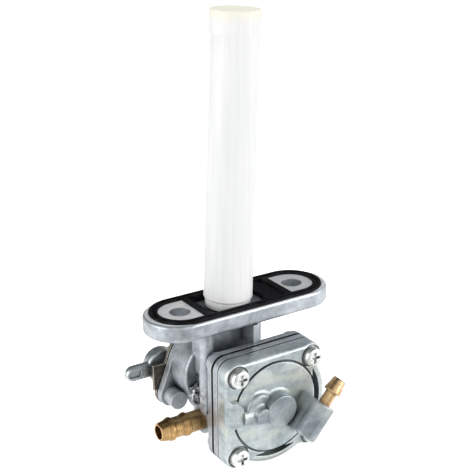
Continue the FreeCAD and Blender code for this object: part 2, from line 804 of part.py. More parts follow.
def build_lever():
    """The lever, cast in one with the rotor that opens one port or the other."""
    piece = Piece("lever")
    groove_radius = "(rotor_diameter / 2 - o_ring_groove_depth)"
    turned = piece.sketch("XY_Plane", f"{VALVE_AXIS[1]}", (VALVE_AXIS[0], "0"))
    groove_middle = f"({ROTOR_FRONT} + {ROTOR_BACK}) / 2"
    hub_back = f"({LEVER_BACK} + hub_rise)"
    outline(turned, [
        ("0", ROTOR_FRONT),
        ("rotor_diameter / 2", ROTOR_FRONT),
        ("rotor_diameter / 2", f"{groove_middle} - o_ring_groove_width / 2"),
        (groove_radius, f"{groove_middle} - o_ring_groove_width / 2"),
        (groove_radius, f"{groove_middle} + o_ring_groove_width / 2"),
        ("rotor_diameter / 2", f"{groove_middle} + o_ring_groove_width / 2"),
        ("rotor_diameter / 2", ROTOR_BACK),
        ("shaft_diameter / 2", ROTOR_BACK),
        ("shaft_diameter / 2", f"{SHEET_BACK} + hub_gap"),
        ("hub_diameter / 2", f"{SHEET_BACK} + hub_gap"),
        ("hub_diameter / 2", hub_back),
        ("0", hub_back),
    ])
    piece.turned(turned)

    def level_sketch():
        return piece.sketch("XZ_Plane", f"-{LEVER_BACK}", VALVE_AXIS)

    arm = level_sketch()
    rectangle(arm, "-lobe_reach", "-lever_sag - arm_width / 2", "0", "-lever_sag + arm_width / 2")
    piece.pad(arm, "lever_thickness")
    lobe = level_sketch()
    circle(lobe, "lobe_radius", ("-lobe_reach", "-lever_sag"))
    piece.pad(lobe, "lever_thickness")
    # The finger paddle, whose oval outline starts inside the lobe.
    paddle_back = f"({LEVER_FRONT} + paddle_thickness)"
    paddle = piece.sketch("XZ_Plane", f"-{paddle_back}", (
        f"{VALVE_AXIS[0]} - (paddle_reach + lobe_reach) / 2", f"{VALVE_AXIS[1]} - paddle_sag"))
    stadium(paddle, "paddle_reach - lobe_reach - paddle_width", "paddle_width")
    piece.pad(paddle, "paddle_thickness")
    hub_edge = value("-core_shift - hub_diameter / 2")
    # Rounded one face at a time; the corner where the paddle's back meets the lobe stays sharp.
    for face, sharp in ((paddle_back, "lobe_radius"), (LEVER_BACK, "0"), (LEVER_FRONT, "0")):
        piece.rounded(
            "lever_edge_radius",
            lambda edge: edge.BoundBox.YLength < 0.01 and edge.BoundBox.XMax < hub_edge
            and abs(edge.CenterOfMass.y - value(face)) < 0.01
            and not is_round(edge, value(sharp)),
        )
    dimple = piece.sketch("XZ_Plane", f"-{LEVER_FRONT}", (
        f"{VALVE_AXIS[0]} - dimple_shift", f"{VALVE_AXIS[1]} - paddle_sag"))
    stadium(dimple, "dimple_length - dimple_width", "dimple_width")
    piece.pocket(dimple, "dimple_depth")

    # A short lug on the shaft, which runs in the slot of the retaining plate and stops the lever.
    lug = piece.sketch("XZ_Plane", f"-({SHEET_BACK} + hub_gap)", VALVE_AXIS)
    rectangle(lug, "-stop_radius", "-stop_width / 2", "0", "stop_width / 2")
    piece.pad(lug, "plate_sheet + hub_gap")
    # The kidney-shaped hollow in the rotor's face joins a supply port to the outlet port.
    kidney = piece.sketch("XZ_Plane", f"-{ROTOR_FRONT}", VALVE_AXIS)
    low = "180 - kidney_half_angle"
    high = "180 + kidney_half_angle"
    outline(
        kidney,
        [at_angle("kidney_outer", low), at_angle("kidney_outer", high),
         at_angle("kidney_inner", high), at_angle("kidney_inner", low)],
        {0: (("0", "0"), 1), 2: (("0", "0"), -1)},
    )
    piece.pocket(kidney, "kidney_depth")
    piece.keep()


def ring(piece, sketch, section, radius, level):
    """A round ring of rubber, turned from a circle about the sketch's upright axis."""
    circle(sketch, f"{section} / 2", (radius, level))
    piece.turned(sketch)
    piece.keep()


def build_lever_o_ring():
    """The ring in the rotor's groove, which keeps fuel in the housing."""
    piece = Piece("lever_o_ring")
    section = piece.sketch("XY_Plane", VALVE_AXIS[1], (VALVE_AXIS[0], "0"))
    radius = "rotor_diameter / 2 - o_ring_groove_depth + o_ring_section / 2 + o_ring_clearance"
    ring(piece, section, "o_ring_section", radius, f"({ROTOR_FRONT} + {ROTOR_BACK}) / 2")


def build_wave_washer():
    """The wavy spring ring between the rotor and the retaining plate."""
    low = value(ROTOR_BACK) + value("washer_clearance + washer_sheet / 2")
    high = value(SHEET_FRONT) - value("washer_clearance + washer_sheet / 2")
    inner = value("shaft_diameter / 2 + shaft_clearance")
    width = value("washer_width")
    middle = inner + width / 2
    axis_x = value(VALVE_AXIS[0])
    axis_z = value(VALVE_AXIS[1])
    waves = 3
    points_per_wave = 8
    points = []
    steps = points_per_wave * waves
    for step in range(steps):
        turn = 2 * math.pi * step / steps
        rise = (low + high) / 2 + (high - low) / 2 * math.cos(waves * turn)
        points.append(Vector(
            axis_x + middle * math.cos(turn), rise, axis_z + middle * math.sin(turn)))
    path = Part.BSplineCurve()
    path.interpolate(points, PeriodicFlag=True)
    half_sheet = value("washer_sheet") / 2
    start = points[0]
    corners = [
        start + Vector(side * width / 2, up * half_sheet, 0)
        for side, up in ((-1, -1), (1, -1), (1, 1), (-1, 1), (-1, -1))
    ]
    sweep = Part.BRepOffsetAPI.MakePipeShell(Part.Wire([path.toShape()]))
    sweep.setBiNormalMode(Vector(0, 1, 0))
    sweep.add(Part.makePolygon(corners))
    sweep.build()
    sweep.makeSolid()
    washer = doc.addObject("Part::Feature", "wave_washer")
    washer.Shape = sweep.shape()
    washer.Label = "wave_washer"
    parts.append(washer)


def build_plate_gasket():
    """The thin gasket behind the valve housing."""
    piece = Piece("plate_gasket")
    sheet_outline = piece.sketch("XZ_Plane", f"-{SHEET_FRONT}", VALVE_AXIS, "ear_angle")
    ear_outline(sheet_outline)
    circle(sheet_outline, "cavity_diameter / 2")
    circle(sheet_outline, "plate_screw_thread / 2", ("ear_reach", "0"))
    circle(sheet_outline, "plate_screw_thread / 2", ("-ear_reach", "0"))
    piece.pad(sheet_outline, "plate_gasket_thickness")
    piece.keep()


def build_retaining_plate():
    """The steel plate that holds the rotor in; its slot stops the lever at both ends."""
    piece = Piece("retaining_plate")
    body = piece.sketch("XZ_Plane", f"-{SHEET_BACK}", VALVE_AXIS, "ear_angle")
    ear_outline(body, "plate_margin")
    piece.pad(body, "plate_sheet")
    tab = piece.sketch("XZ_Plane", f"-{SHEET_BACK}", VALVE_AXIS)
    rectangle(tab, "-tab_reach", "-tab_bottom", "0", "tab_top")
    piece.pad(tab, "plate_sheet")
    slot = piece.sketch("XZ_Plane", f"-{SHEET_BACK}", VALVE_AXIS)
    inner = "(shaft_diameter / 2 + shaft_clearance)"
    low = "180 - stop_slack_angle"
    high = "360 + stop_slack_angle"
    outline(
        slot,
        [at_angle(inner, high), at_angle(inner, low),
         at_angle("stop_slot_radius", low), at_angle("stop_slot_radius", high)],
        {0: (("0", "0"), 1), 2: (("0", "0"), 1)},
    )
    piece.pocket(slot, "plate_sheet", backwards=True)
    holes = piece.sketch("XZ_Plane", f"-{SHEET_BACK}", VALVE_AXIS, "ear_angle")
    circle(holes, "plate_screw_thread / 2", ("ear_reach", "0"))
    circle(holes, "plate_screw_thread / 2", ("-ear_reach", "0"))
    piece.pocket(holes, "plate_sheet", backwards=True)
    piece.keep()


def screw_master(label, thread, head_radius, head_height, length):
    """A pan-head screw standing on the XY plane, its shank downwards and a cross in its head."""
    piece = Piece(label)
    profile = piece.sketch("XZ_Plane")
    flat = f"{head_radius} * head_flat_share"
    side = f"{head_height} * head_side_share"
    outline(profile, [
        ("0", f"-({length})"), (f"{thread} / 2 - screw_tip_bevel", f"-({length})"),
        (f"{thread} / 2", f"screw_tip_bevel - ({length})"), (f"{thread} / 2", "0"),
        (head_radius, "0"), (head_radius, side),
        (f"({head_radius} * 2 + {flat}) / 3", f"({side} + {head_height} * 2) / 3"),
        (flat, head_height), ("0", head_height),
    ])
    piece.turned(profile)
    cross = piece.sketch("XY_Plane", head_height)
    arm = f"{head_radius} * cross_length_share"
    half = f"{head_radius} * cross_width_share"
    corners = [
        (arm, f"-({half})"), (arm, half), (half, half), (half, arm), (f"-({half})", arm),
        (f"-({half})", half), (f"-({arm})", half), (f"-({arm})", f"-({half})"),
        (f"-({half})", f"-({half})"), (f"-({half})", f"-({arm})"), (half, f"-({arm})"),
        (half, f"-({half})"),
    ]
    outline(cross, corners)
    piece.pocket(cross, f"{head_height} * cross_depth_share")
    return piece.body


def copies(label, master, places, level, angle):
    """One node with a copy of the master at each place, facing along the Y axis."""
    links = []
    for i, (x, z) in enumerate(places):
        link = doc.addObject("App::Link", f"{label}_{i}")
        link.LinkedObject = master
        link.Placement = Placement(Vector(), Rotation(Vector(1, 0, 0), angle))
        bind(link, ".Placement.Base.x", x)
        bind(link, ".Placement.Base.y", level)
        bind(link, ".Placement.Base.z", z)
        links.append(link)
    group = doc.addObject("Part::Compound", label)
    group.Links = links
    group.Label = label
    parts.append(group)


def build_plate_screws():
    master = screw_master("plate_screw", "plate_screw_thread", "plate_screw_head / 2",
                          "plate_screw_head_height", "plate_screw_length")
    places = [at_angle("ear_reach", f"ear_angle + {side}", VALVE_AXIS) for side in ("0", "180")]
    copies("plate_screws", master, places, SHEET_BACK, -90)


def cover_screw_places():
    return [(f"chamber_shift + ({x})", f"-chamber_drop + ({z})") for x, z in corner_positions()]


def build_cover_screws():
    master = screw_master("cover_screw", "cover_screw_thread", "screw_head_radius",
                          "screw_head_height", "screw_length")
    copies("cover_screws", master, cover_screw_places(),
           f"-({SCREW_PAD} + spring_washer_thickness)", 90)


def build_cover_washers():
    """Split spring washers under the four cover screws."""
    piece = Piece("spring_washer")
    washer = piece.sketch("XY_Plane")
    circle(washer, "spring_washer_radius")
    circle(washer, "cover_screw_hole / 2")
    piece.pad(washer, "spring_washer_thickness")
    split = piece.sketch("XY_Plane", "spring_washer_thickness")
    rectangle(split, "0", "-spring_washer_split / 2", "spring_washer_radius + split_overrun",
              "spring_washer_split / 2")
    piece.pocket(split, "spring_washer_thickness")
    copies("cover_washers", piece.body, cover_screw_places(), f"-{SCREW_PAD}", 90)


def build_fuel_outlet():
    """The brass hose tail for the fuel line, pressed into the boss on the left."""
    piece = Piece("fuel_outlet")
    profile = piece.sketch("XZ_Plane", "outlet_front", ("-outlet_boss_x", f"-{OUTLET_DROP}"))
    radius = "outlet_radius"
    tip = "-outlet_reach"
    points = [("outlet_socket", "outlet_bore_radius"), ("outlet_socket", radius)]
    for ridge in ("outlet_ridge_second", "outlet_ridge_first"):
        # Counted from the tip: a short rise on the body's side, then a long taper to the tip.
        crest = f"{tip} + {ridge}"
        points += [
            (f"{crest} + outlet_ridge_length * ridge_rise_share", radius),
            (f"{crest} + outlet_ridge_length * ridge_crest_share", "outlet_ridge_radius"),
            (f"{crest} - outlet_ridge_length * ridge_crest_share", "outlet_ridge_radius"),
            (f"{crest} - outlet_ridge_length * ridge_fall_share", radius),
        ]
    points += [
        (f"{tip} + outlet_tip_bevel_length", "outlet_tip_radius"),
        (tip, "outlet_tip_radius - outlet_tip_bevel_width"),
        (tip, "outlet_bore_radius"),
    ]
    outline(profile, points)
    piece.turned(profile, "H_Axis")
    piece.keep()


def stack_sheet(label, level, thickness, centre_hole):
    """A plate or sheet with the stack's outline, a hole in its middle and four for the screws."""
    piece = Piece(label)
    stack_plate(piece, level, thickness)
    front = f"({level} + {thickness})"
    drilled(piece, "XZ_Plane", front, CHAMBER_AXIS, centre_hole, thickness)
    screw_holes(piece, front, thickness, "cover_screw_hole")
    return piece


def build_diaphragms_and_spacer():
    stem = "plunger_stem_diameter / 2 + stem_clearance"
    stack_sheet("inner_diaphragm", PLATE_FRONT, "inner_diaphragm_thickness", stem).keep()
    spacer = stack_sheet("diaphragm_spacer", SPACER_BACK, "spacer_thickness",
                         "chamber_diameter / 2")
    vent = spacer.sketch("XY_Plane", "-chamber_drop - plate_half_width - vent_start",
                         ("chamber_shift", f"-({SPACER_BACK} + spacer_thickness / 2)"))
    circle(vent, "vent_diameter / 2")
    spacer.pocket(vent, "plate_half_width", backwards=True)
    spacer.keep()
    stack_sheet("outer_diaphragm", SPACER_FRONT, "outer_diaphragm_thickness", stem).keep()


def build_plunger():
    """The plunger that both diaphragms pull off its seat when the engine draws on the cover."""
    piece = Piece("plunger")
    profile = piece.sketch("XY_Plane", CHAMBER_AXIS[1], (CHAMBER_AXIS[0], "0"))
    neck = f"-({PLATE_FRONT} - plunger_disc_thickness)"
    head = f"({neck} + plunger_head_thickness)"
    disc = f"-{PLATE_FRONT}"
    end = f"-({COVER_BACK} + spring_seat_thickness + plunger_stem_end)"
    outline(profile, [
        ("0", head), ("plunger_head_radius", head), ("plunger_head_radius", neck),
        ("plunger_disc_radius", neck), ("plunger_disc_radius", disc),
        ("plunger_stem_diameter / 2", disc), ("plunger_stem_diameter / 2", end), ("0", end),
    ])
    piece.turned(profile)
    piece.keep()

    seal = Piece("plunger_seal")
    seal_back = f"({SEAT_FRONT} + seal_clearance)"
    section = seal.sketch("XZ_Plane", seal_back, CHAMBER_AXIS)
    circle(section, "plunger_head_radius - seal_edge_gap")
    circle(section, "seat_bore / 2 - seal_overhang")
    seal.pad(section, f"-{head} - {seal_back}")
    seal.keep()

    for label, level, radius, thickness in (
        ("plunger_sleeve", SPACER_BACK, "sleeve_radius", "spacer_thickness"),
        ("spring_seat", COVER_BACK, "spring_seat_radius", "spring_seat_thickness"),
    ):
        washer = Piece(label)
        face = washer.sketch("XZ_Plane", level, CHAMBER_AXIS)
        circle(face, radius)
        circle(face, "plunger_stem_diameter / 2 + stem_clearance")
        washer.pad(face, thickness)
        washer.keep()


def build_diaphragm_spring():
    """The coil spring that keeps the plunger shut."""
    piece = Piece("diaphragm_spring")
    wire = "spring_wire / 2"
    start = f"({COVER_BACK} + spring_seat_thickness + {wire} + spring_clearance)"
    finish = f"({SPRING_END} - {wire} - spring_clearance)"
    section = piece.sketch("XY_Plane", CHAMBER_AXIS[1], (CHAMBER_AXIS[0], "0"))
    circle(section, wire, ("spring_radius", f"-{start}"))
    coil = piece.body.newObject("PartDesign::AdditiveHelix", "diaphragm_spring_coil")
    coil.Profile = section
    coil.ReferenceAxis = (section, ["V_Axis"])
    coil.Mode = "height-turns-growth"
    coil.Reversed = True
    bind(coil, "Height", f"{finish} - {start}")
    bind(coil, "Turns", "spring_turns")
    doc.recompute()
    piece.keep()


def flared_boss(piece, centre, radius, base, front):
    """A boss on the cover that spreads in a hollow curve where it meets the face at its base."""
    profile = piece.sketch("XY_Plane", centre[1], (centre[0], "0"))
    foot = f"({radius} + boss_flare)"
    inner = f"({radius} - boss_edge_radius)"
    outline(
        profile,
        [
            ("0", f"-{CAVITY_CEILING}"), (foot, f"-{CAVITY_CEILING}"), (foot, f"-{base}"),
            (radius, f"-({base} + boss_flare)"), (radius, f"-({front} - boss_edge_radius)"),
            (inner, f"-{front}"), ("0", f"-{front}"),
        ],
        {2: ((foot, f"-({base} + boss_flare)"), 1),
         4: ((inner, f"-({front} - boss_edge_radius)"), -1)},
    )
    piece.turned(profile)


def build_diaphragm_cover():
    """The die-cast cover: a raised disc with a spring boss, a rib to the left and the pipe tower."""
    piece = Piece("diaphragm_cover")
    stack_plate(piece, COVER_BACK, "cover_depth")
    front = -value(COVER_FRONT)
    piece.rounded(
        "cover_edge_radius",
        lambda edge: edge.BoundBox.YLength < 0.01 and abs(edge.CenterOfMass.y - front) < 0.01,
    )
    disc = piece.sketch("XZ_Plane", COVER_FRONT, CHAMBER_AXIS)
    circle(disc, "disc_radius")
    piece.pad(disc, "disc_rise")
    disc_front = -value(f"{COVER_FRONT} + disc_rise")
    piece.rounded(
        "disc_edge_radius",
        lambda edge: is_round(edge, value("disc_radius"))
        and abs(edge.CenterOfMass.y - disc_front) < 0.01,
    )
    groove = piece.sketch("XZ_Plane", COVER_FRONT, CHAMBER_AXIS)
    circle(groove, "disc_radius + groove_width")
    circle(groove, "disc_radius")
    piece.pocket(groove, "groove_depth")
    spots = piece.sketch("XZ_Plane", COVER_FRONT, CHAMBER_AXIS)
    for place in corner_positions():
        circle(spots, "spot_face_diameter / 2", place)
    piece.pocket(spots, "spot_face_depth")
    for middle, half in (("0", "side_pocket_half_angle"), ("270", "low_pocket_half_angle")):
        pocket = piece.sketch("XZ_Plane", COVER_FRONT, CHAMBER_AXIS)
        low = f"{middle} - {half}"
        high = f"{middle} + {half}"
        outline(
            pocket,
            [at_angle("pocket_radius", low), at_angle("pocket_radius", high)],
            {0: (("0", "0"), 1)},
        )
        piece.pocket(pocket, "pocket_depth")

    # A nose with sloping sides runs in from the left edge and bridges the groove.
    nose = piece.sketch("XZ_Plane", f"({COVER_FRONT} - groove_depth)", CHAMBER_AXIS)
    outline(nose, [
        ("-nose_reach", "nose_top"), ("-nose_reach", "-nose_low"), ("-ridge_reach", "-nose_low"),
        ("-ridge_reach + nose_rise", "-nose_low + nose_rise"),
        ("-ridge_reach + nose_rise", "nose_shoulder"),
        ("-ridge_reach + nose_rise + nose_shoulder - nose_top", "nose_top"),
    ])
    slope = piece.pad(nose, "nose_rise + groove_depth")
    bind(slope, "TaperAngle", "-nose_slope_angle")
    doc.recompute()
    # From the nose a half-round ridge leads to the post, which stands on a shoulder.
    post(piece, "YZ_Plane", "chamber_shift - ridge_reach",
         (f"ridge_radius - ridge_rise - {COVER_FRONT}", "-chamber_drop"), "ridge_radius",
         "ridge_reach - post_shift")
    shoulder = f"{COVER_FRONT} + arch_rise"
    disc_face = f"({COVER_FRONT} + disc_rise)"
    post_x = "chamber_shift - post_shift"
    for centre, radius, base, rise in (
        ((post_x, "arch_lift - chamber_drop"), "arch_radius", disc_face, "arch_rise"),
        ((post_x, "-chamber_drop"), "post_radius", f"({shoulder})", "post_rise"),
        (CHAMBER_AXIS, "centre_boss_radius", disc_face, "centre_boss_rise"),
    ):
        flared_boss(piece, centre, radius, base, f"({COVER_FRONT} + {rise})")

    # The tower: a flat-sided foot, with a round barrel along the vacuum pipe on its end.
    tower_axis = ("chamber_shift + tower_x", "-chamber_drop - tower_drop")
    foot = piece.sketch("XZ_Plane", CAVITY_CEILING, tower_axis, "nipple_angle")
    rectangle(foot, "-tower_length / 2", "-tower_width / 2", "tower_length / 2", "tower_width / 2")
    piece.pad(foot, f"barrel_front - {CAVITY_CEILING}")
    barrel = piece.sketch("XZ_Plane", "barrel_front", tower_axis, "nipple_angle")
    end = "tower_length / 2"
    flat = f"({end} - barrel_edge_radius)"
    rim = "(barrel_radius - barrel_edge_radius)"
    outline(
        barrel,
        [(f"-{end}", "0"), (end, "0"), (end, rim), (flat, "barrel_radius"),
         (f"-{flat}", "barrel_radius"), (f"-{end}", rim)],
        {2: ((flat, rim), 1), 4: ((f"-{flat}", rim), 1)},
    )
    piece.turned(barrel, "H_Axis")

    drilled(piece, "XZ_Plane", COVER_BACK, CHAMBER_AXIS, "cover_cavity_diameter / 2",
            "cover_cavity_depth", backwards=True)
    drilled(piece, "XZ_Plane", CAVITY_CEILING, CHAMBER_AXIS, "spring_pocket_radius",
            "spring_pocket_depth", backwards=True)
    drilled(piece, "XZ_Plane", COVER_BACK, tower_axis, "nipple_bore_radius",
            f"barrel_front - {COVER_BACK}", backwards=True)
    socket = piece.sketch("XZ_Plane", "barrel_front", tower_axis, "nipple_angle")
    rectangle(socket, "tower_length / 2 - nipple_socket", "0", "tower_length / 2", "nipple_radius")
    piece.turned(socket, "H_Axis", "Groove")
    bore = piece.sketch("XZ_Plane", "barrel_front", tower_axis, "nipple_angle")
    rectangle(bore, "-nipple_bore_radius", "0", "tower_length / 2", "nipple_bore_radius")
    piece.turned(bore, "H_Axis", "Groove")
    screw_holes(piece, COVER_FRONT, "cover_depth", "cover_screw_hole")
    piece.keep()


def build_vacuum_nipple():
    """The small brass pipe for the vacuum hose, with one barb near its end."""
    piece = Piece("vacuum_nipple")
    tower_axis = ("chamber_shift + tower_x", "-chamber_drop - tower_drop")
    profile = piece.sketch("XZ_Plane", "barrel_front", tower_axis, "nipple_angle")
    face = "tower_length / 2"
    tip = f"{face} + nipple_reach"
    outline(profile, [
        (f"{face} - nipple_socket", "nipple_bore_radius"), (tip, "nipple_bore_radius"),
        (tip, "nipple_tip_radius - nipple_tip_bevel_width"),
        (f"{tip} - nipple_tip_bevel_length", "nipple_tip_radius"),
        (f"{tip} - nipple_barb_length + nipple_crest_length", "nipple_barb_radius"),
        (f"{tip} - nipple_barb_length", "nipple_barb_radius"),
        (f"{tip} - nipple_barb_length", "nipple_radius"),
        (f"{face} - nipple_socket", "nipple_radius"),
    ])
    piece.turned(profile, "H_Axis")
    piece.keep()


build_tap_body()
build_tank_gasket()
build_filter_tube()
build_filter_cap()
build_main_standpipe()
build_valve_seal()
build_lever()
build_lever_o_ring()
build_wave_washer()
build_plate_gasket()
build_retaining_plate()
build_plate_screws()
build_fuel_outlet()
build_diaphragms_and_spacer()
build_plunger()
build_diaphragm_spring()
build_diaphragm_cover()
build_vacuum_nipple()
build_cover_screws()
build_cover_washers()
doc.recompute()

for thing in doc.Objects:
    if {"Invalid", "Error"} & set(thing.State):
        raise RuntimeError(f"{thing.Label} failed: {thing.State}")
for node in parts:
    if node.Shape.isNull() or not node.Shape.isValid() or not node.Shape.Solids:
        raise RuntimeError(f"{node.Label} has no valid solid")
os.makedirs("parts", exist_ok=True)
for node in parts:
    node.Shape.exportStep(f"parts/{node.Label}.step")
    print(node.Label, len(node.Shape.Solids), "solids,", round(node.Shape.Volume, 1), "mm3")
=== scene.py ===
# %% [markdown]
# # A vacuum fuel tap, finished and lit for a product picture
# The tap's solids come from the CAD frame and stay where they are. This lesson gives each of them its
# finish, adds one rough lump of casting that a plain solid lacks, and lights the whole as in a small
# studio. Everything is in metres, in the frame's own axes: +Z up into the tank, the diaphragm cover
# towards -Y, the fuel outlet towards -X.

# %% Load the frame
import json
import math

import bpy
from mathutils import Matrix, Vector

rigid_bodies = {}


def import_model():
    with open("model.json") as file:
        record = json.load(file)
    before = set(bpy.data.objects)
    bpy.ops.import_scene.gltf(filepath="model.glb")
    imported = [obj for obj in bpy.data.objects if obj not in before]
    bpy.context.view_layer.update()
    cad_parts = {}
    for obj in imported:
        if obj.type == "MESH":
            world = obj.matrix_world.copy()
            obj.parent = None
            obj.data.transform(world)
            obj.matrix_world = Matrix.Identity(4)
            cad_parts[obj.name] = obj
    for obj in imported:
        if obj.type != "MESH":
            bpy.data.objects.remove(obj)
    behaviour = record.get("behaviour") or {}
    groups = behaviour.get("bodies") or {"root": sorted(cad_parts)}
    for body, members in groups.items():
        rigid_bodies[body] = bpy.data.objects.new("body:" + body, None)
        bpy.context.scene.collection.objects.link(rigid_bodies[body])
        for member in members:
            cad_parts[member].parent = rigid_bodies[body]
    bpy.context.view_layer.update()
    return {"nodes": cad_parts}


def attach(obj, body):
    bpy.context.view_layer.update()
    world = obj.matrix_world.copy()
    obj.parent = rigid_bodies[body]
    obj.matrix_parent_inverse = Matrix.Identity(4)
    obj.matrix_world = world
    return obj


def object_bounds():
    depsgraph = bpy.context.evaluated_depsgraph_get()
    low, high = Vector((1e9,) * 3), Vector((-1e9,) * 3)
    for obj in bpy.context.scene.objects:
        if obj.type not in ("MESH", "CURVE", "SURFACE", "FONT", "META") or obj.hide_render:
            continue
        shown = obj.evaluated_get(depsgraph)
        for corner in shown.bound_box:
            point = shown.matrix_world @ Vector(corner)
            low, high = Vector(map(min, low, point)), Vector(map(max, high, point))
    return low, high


for leftover in list(bpy.data.objects):
    bpy.data.objects.remove(leftover)
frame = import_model()
bpy.ops.object.select_all(action="DESELECT")
MM = 0.001
print("nodes:", len(frame["nodes"]))

# %% [markdown]
# ## Shader sums as plain Python
# A finish is a little sum over the surface: some noise, a threshold, a mix of two colours. Wired by
# hand, that sum is hard to see. So a socket is wrapped in a small class, and +, - and * between two of
# them, or between one and a number, add the Math node that does it.

# %% A socket that can be calculated with
class Value:
    """What one socket gives, with the operators that the finishes use."""

    def __init__(self, sums, socket):
        self.sums = sums
        self.socket = socket

    def _math(self, operation, first, second):
        return self.sums.node("ShaderNodeMath", {"operation": operation}, {0: first, 1: second})

    def __add__(self, other):
        return self._math("ADD", self, other)

    def __sub__(self, other):
        return self._math("SUBTRACT", self, other)

    def __rsub__(self, other):
        return self._math("SUBTRACT", other, self)

    def __mul__(self, other):
        return self._math("MULTIPLY", self, other)

    __radd__ = __add__
    __rmul__ = __mul__


# %% [markdown]
# ## A node tree that takes sums
# `node` adds any node. Its settings come first, such as a Math node's operation, and then what its
# sockets get: a number, a colour or a Value. `band` is a soft threshold and `blend` mixes two colours. A
# Mix node has sockets of the same name for every kind of data, so its colour ones are named by number.

# %% The node tree
COLOUR_A, COLOUR_B, COLOUR_OUT = 6, 7, 2


class Sums:
    """The node tree of a material or of the world."""

    def __init__(self, tree):
        self.tree = tree

    def feed(self, socket, wanted):
        if isinstance(wanted, Value):
            self.tree.links.new(wanted.socket, socket)
        else:
            socket.default_value = wanted

    def node(self, kind, settings=None, inputs=None, output=0):
        made = self.tree.nodes.new(kind)
        for key, setting in (settings or {}).items():
            setattr(made, key, setting)
        for key, wanted in (inputs or {}).items():
            self.feed(made.inputs[key], wanted)
        return Value(self, made.outputs[output])

    def part(self, vector, axis):
        """The X, Y or Z part of a vector."""
        return self.node("ShaderNodeSeparateXYZ", {}, {"Vector": vector}, axis)

    def band(self, value, low, high, start=0.0, end=1.0, curve="SMOOTHSTEP"):
        """Goes from start to end as the value goes from low to high."""
        return self.node("ShaderNodeMapRange", {"interpolation_type": curve}, {
            "Value": value, "From Min": low, "From Max": high, "To Min": start, "To Max": end,
        })

    def blend(self, factor, first, second):
        """Mixes two colours."""
        return self.node("ShaderNodeMix", {"data_type": "RGBA"}, {
            0: factor, COLOUR_A: first, COLOUR_B: second,
        }, COLOUR_OUT)


# %% [markdown]
# ## A finish
# Each finish is one material. Two things make metal look handled: painted shade in the corners, where
# light hardly reaches, and bright edges, partly rubbed and partly a painted highlight. Both could be
# painted by hand. The Ambient Occlusion node finds them by itself, once from outside for the corners
# and once from inside for the edges.

# %% The finish class
class Finish(Sums):
    """One material, made round its Principled shader."""

    def __init__(self, name):
        self.material = bpy.data.materials.new(name)
        self.material.use_nodes = True
        super().__init__(self.material.node_tree)
        self.shader = self.tree.nodes["Principled BSDF"]
        self.place = self.node("ShaderNodeTexCoord", output="Object")

    def noise(self, size, detail=3.0, stretch=None):
        """Soft noise whose lumps are about `size` across, in metres."""
        place = self.place
        if stretch is not None:
            place = self.node("ShaderNodeMapping", {}, {"Vector": place, "Scale": stretch})
        return self.node("ShaderNodeTexNoise", {}, {
            "Vector": place, "Scale": 1 / size, "Detail": detail, "Roughness": 0.55,
        })

    def facing(self, axis):
        """How far the surface looks along X, Y or Z, from -1 to 1."""
        return self.part(self.node("ShaderNodeNewGeometry", output="Normal"), axis)

    def openness(self, reach, inside=False):
        """How much of the space within reach is free, from 0 to 1."""
        return self.node("ShaderNodeAmbientOcclusion", {"samples": 8, "inside": inside},
                         {"Distance": reach}, "AO")

    def shade(self, reach, low=0.2, high=0.95):
        """0 in a deep corner, 1 on a free face."""
        return self.band(self.openness(reach), low, high)

    def rim(self, reach):
        """1 on a free edge, 0 on a flat face."""
        return self.band(1.0 - self.openness(reach, inside=True), low=0.10, high=0.50)

    def relief(self, height, depth, edge):
        """Bumps of a given depth, over edges that are rounded by the given radius."""
        soft = self.node("ShaderNodeBevel", {"samples": 4}, {"Radius": edge})
        bump = self.node("ShaderNodeBump", {}, {
            "Height": height, "Distance": depth, "Strength": 1.0, "Normal": soft,
        })
        self.feed(self.shader.inputs["Normal"], bump)

    def surface(self, **sockets):
        for name, wanted in sockets.items():
            self.feed(self.shader.inputs[name.replace("_", " ")], wanted)
        return self.material


def rgb(red, green, blue):
    return (red, green, blue, 1.0)


# %% [markdown]
# ## Marks on die-cast metal
# The body, the cover, the spacer and the lever are pressure die castings. Their skin is a dull
# blue-grey, and it tells how it was made: long marks where the metal ran and small pits. Shade is
# painted into its corners and seams as well. Each mark is a function of its own, so that a casting takes
# only the ones it shows. Each row of the corner table says how far the painted shade in a corner
# reaches, how open its deepest and its freest spot are, and what share of the colour stays in it.

# %% Marks on a casting
# The deep grey and deep teal are painted shade in corners and seams, and also the scar's dark flakes and
# the dark run marks.
SHADE_AND_FLAKE_GREY = rgb(0.035, 0.042, 0.050)
SHADE_AND_MARK_TEAL = rgb(0.070, 0.095, 0.105)
TOWER_BLUE = rgb(0.115, 0.135, 0.155)
SOOT = rgb(0.13, 0.145, 0.155)
# Painted shade in corners: its reach, the openness of the deepest and freest spot, the colour share kept.
CORNER_SHADE = ((10 * MM, 0.1, 0.75, 0.62), (3 * MM, 0.35, 0.95, 0.6))
SEAM_REACH = 1 * MM


def run_marks(finish, colour, tint):
    """Long soft marks along the cover: some in the tint, some dark."""
    marks = finish.noise(6 * MM, detail=1.5, stretch=(0.35, 1.0, 1.5))
    colour = finish.blend(finish.band(marks, 0.50, 0.68, end=0.5), colour, tint)
    return finish.blend(finish.band(1.0 - marks, 0.52, 0.70, end=0.30), colour, SHADE_AND_MARK_TEAL)


def tower_tone(finish, colour):
    """The pipe tower stands out in front of the plate, and is bluer than it."""
    outward = 0.0 - finish.part(finish.place, "Y")
    return finish.blend(finish.band(outward, 21 * MM, 26 * MM, end=0.4), colour, TOWER_BLUE)


def with_pits(finish, colour, height, pitting):
    """Small dark pits. The colour and the height come back together, as both have changed."""
    pits = finish.band(finish.noise(0.8 * MM), 0.58, 0.74)
    return finish.blend(pits * (0.6 * pitting), colour, SOOT), height - pits * pitting


